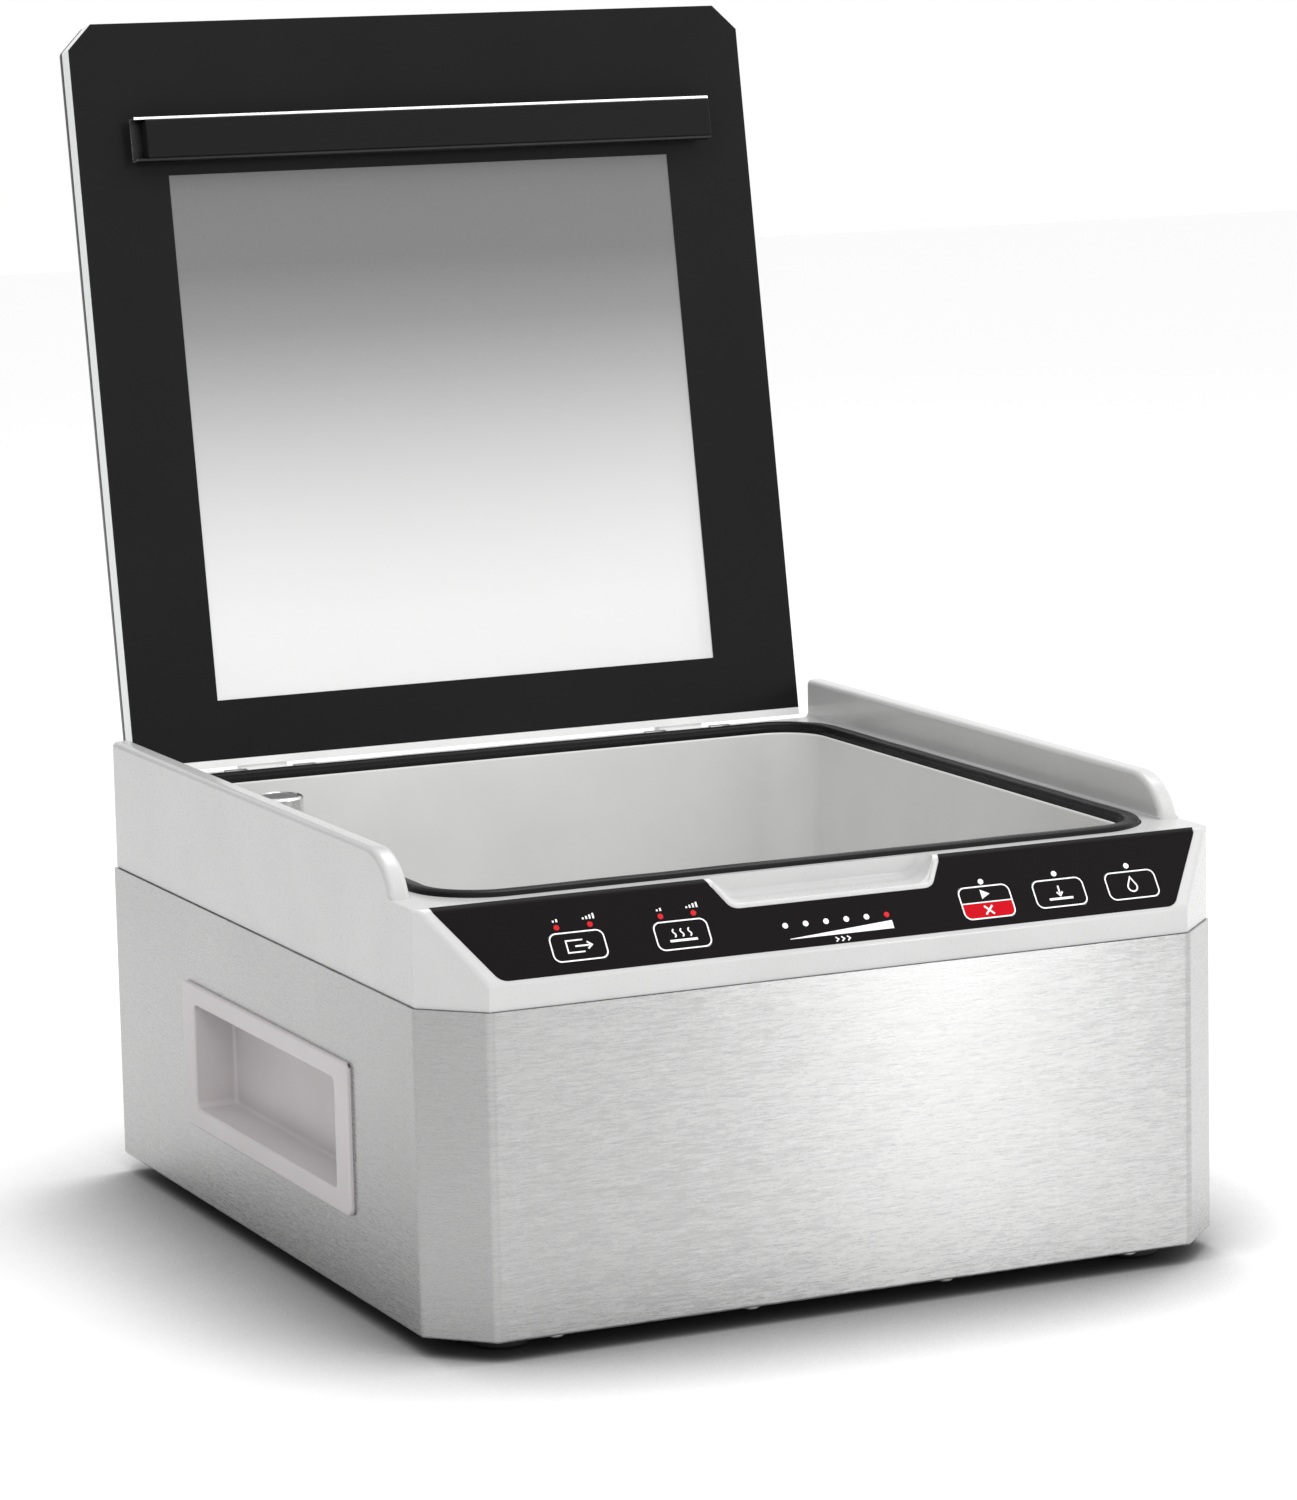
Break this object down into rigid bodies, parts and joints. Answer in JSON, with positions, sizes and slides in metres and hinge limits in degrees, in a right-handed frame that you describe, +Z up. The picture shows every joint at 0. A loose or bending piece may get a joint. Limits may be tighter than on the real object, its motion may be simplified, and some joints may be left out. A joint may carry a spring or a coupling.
{
  "type": "vacuum sealer",
  "caption": "Tabletop chamber vacuum sealer with a hinged windowed lid standing open, a stainless body, a sloped key panel and side hand recesses.",
  "frame": {"origin": "on the ground, midway across the body and midway between the front of the body and the back of the open lid", "axes": "+Z up, +X to the right seen from the front, -Y towards the person using it; lid open in the rest pose"},
  "size_m": [0.364, 0.454, 0.5164],
  "materials": {
    "stainless": "horizontal brushed grain",
    "zinc_plate": "zinc-plated sheet",
    "top_plastic": "smooth light grey",
    "chamber_plastic": "smooth light grey",
    "gasket_rubber": "smooth black",
    "handle_plastic": "smooth off-white",
    "overlay_film": "satin black film",
    "key_film": "satin black film with a white outline",
    "cancel_film": "satin film, black above and red below",
    "red_lens": "clear red",
    "white_lens": "milky white",
    "circuit_board": "solder mask",
    "black_plastic": "moulded",
    "black_rubber": "matte",
    "chrome_cap": "satin chrome",
    "pale_plastic": "moulded",
    "cast_aluminium": "as cast",
    "bar_aluminium": "extruded",
    "motor_steel": "painted",
    "rotor_steel": "turned",
    "hose_silicone": "translucent white",
    "core_steel": "laminated",
    "copper_coil": "varnished winding",
    "brass_fitting": "turned",
    "screw_steel": "nickel plated",
    "hinge_steel": "satin",
    "heating_strip": "bright strip",
    "woven_tape": "non-stick woven glass tape",
    "rocker_red": "gloss",
    "clear_acrylic": "clear, polished edges",
    "mask_print": "black back-print",
    "lid_cover_grey": "dark grey",
    "trim_white": "white",
    "pad_silicone": "satin black",
    "channel_aluminium": "anodised"
  },
  "bodies": {
    "housing": {"base_plate": "zinc_plate", "body_shell": "stainless", "rear_panel": "stainless", "top_housing": "top_plastic", "chamber_tub": "chamber_plastic", "chamber_gasket": "gasket_rubber", "left_handle_cup": "handle_plastic", "right_handle_cup": "handle_plastic", "control_overlay": "overlay_film", "control_board": "circuit_board", "key_switches": "black_plastic", "red_indicator_lenses": "red_lens", "white_indicator_lenses": "white_lens", "lift_cylinders": "pale_plastic", "post_seals": "black_rubber", "port_standpipe": "pale_plastic", "port_cap": "chrome_cap", "port_o_ring": "black_rubber", "pump_motor": "motor_steel", "pump_crankcases": "cast_aluminium", "pump_heads": "cast_aluminium", "pump_bracket": "zinc_plate", "pump_grommets": "black_rubber", "vacuum_valve": "black_plastic", "vent_valve": "black_plastic", "vacuum_hoses": "hose_silicone", "transformer_core": "core_steel", "transformer_coil": "copper_coil", "power_board": "circuit_board", "board_standoffs": "brass_fitting", "fan_frame": "black_plastic", "power_inlet": "black_plastic", "switch_housing": "black_plastic", "feet": "black_rubber", "foot_screws": "screw_steel", "base_screws": "screw_steel", "rear_screws": "screw_steel", "hinge_brackets": "hinge_steel", "hinge_pins": "hinge_steel", "lid_sensor": "black_plastic"},
    "key_vacuum": {"key_vacuum": "key_film"},
    "key_sealing": {"key_sealing": "key_film"},
    "key_auto_cancel": {"key_auto_cancel": "cancel_film"},
    "key_seal": {"key_seal": "key_film"},
    "key_marinate": {"key_marinate": "key_film"},
    "seal_bar": {"seal_bar": "bar_aluminium", "seal_element": "heating_strip", "seal_tape": "woven_tape", "lift_posts": "hinge_steel"},
    "pump_rotor": {"pump_rotor": "rotor_steel"},
    "fan_rotor": {"fan_rotor": "black_plastic"},
    "switch_rocker": {"switch_rocker": "rocker_red"},
    "lid": {"lid_plate": "clear_acrylic", "lid_mask": "mask_print", "lid_outer_cover": "lid_cover_grey", "lid_hinge_rail": "trim_white", "counter_bar_channel": "channel_aluminium", "counter_bar_pad": "pad_silicone", "lid_magnet": "screw_steel"}
  },
  "joints": [
    {"name": "lid_hinge", "type": "hinge", "parent": "housing", "child": "lid", "pos_m": [0, 0.14849, 0.1773], "axis": [1, 0, 0], "range_deg": [0, 99.86]},
    {"name": "seal_bar_lift", "type": "slide", "parent": "housing", "child": "seal_bar", "axis": [0, 0, 1], "range_m": [0, 0.006]},
    {"name": "vacuum_key_press", "type": "slide", "parent": "housing", "child": "key_vacuum", "axis": [0, 0.8118, -0.5839], "range_m": [0, 0.0004], "stiffness_N_per_m": 3000},
    {"name": "sealing_key_press", "type": "slide", "parent": "housing", "child": "key_sealing", "axis": [0, 0.8118, -0.5839], "range_m": [0, 0.0004], "stiffness_N_per_m": 3000},
    {"name": "auto_cancel_key_press", "type": "slide", "parent": "housing", "child": "key_auto_cancel", "axis": [0, 0.8118, -0.5839], "range_m": [0, 0.0004], "stiffness_N_per_m": 3000},
    {"name": "seal_key_press", "type": "slide", "parent": "housing", "child": "key_seal", "axis": [0, 0.8118, -0.5839], "range_m": [0, 0.0004], "stiffness_N_per_m": 3000},
    {"name": "marinate_key_press", "type": "slide", "parent": "housing", "child": "key_marinate", "axis": [0, 0.8118, -0.5839], "range_m": [0, 0.0004], "stiffness_N_per_m": 3000},
    {"name": "pump_spin", "type": "hinge", "parent": "housing", "child": "pump_rotor", "pos_m": [0, 0.03249, 0.054], "axis": [1, 0, 0], "continuous": true},
    {"name": "fan_spin", "type": "hinge", "parent": "housing", "child": "fan_rotor", "pos_m": [-0.1, 0.15079, 0.06], "axis": [0, 1, 0], "continuous": true},
    {"name": "power_rocker", "type": "hinge", "parent": "housing", "child": "switch_rocker", "pos_m": [0.08, 0.14799, 0.048], "axis": [-1, 0, 0], "range_deg": [0, 16]}
  ]
}
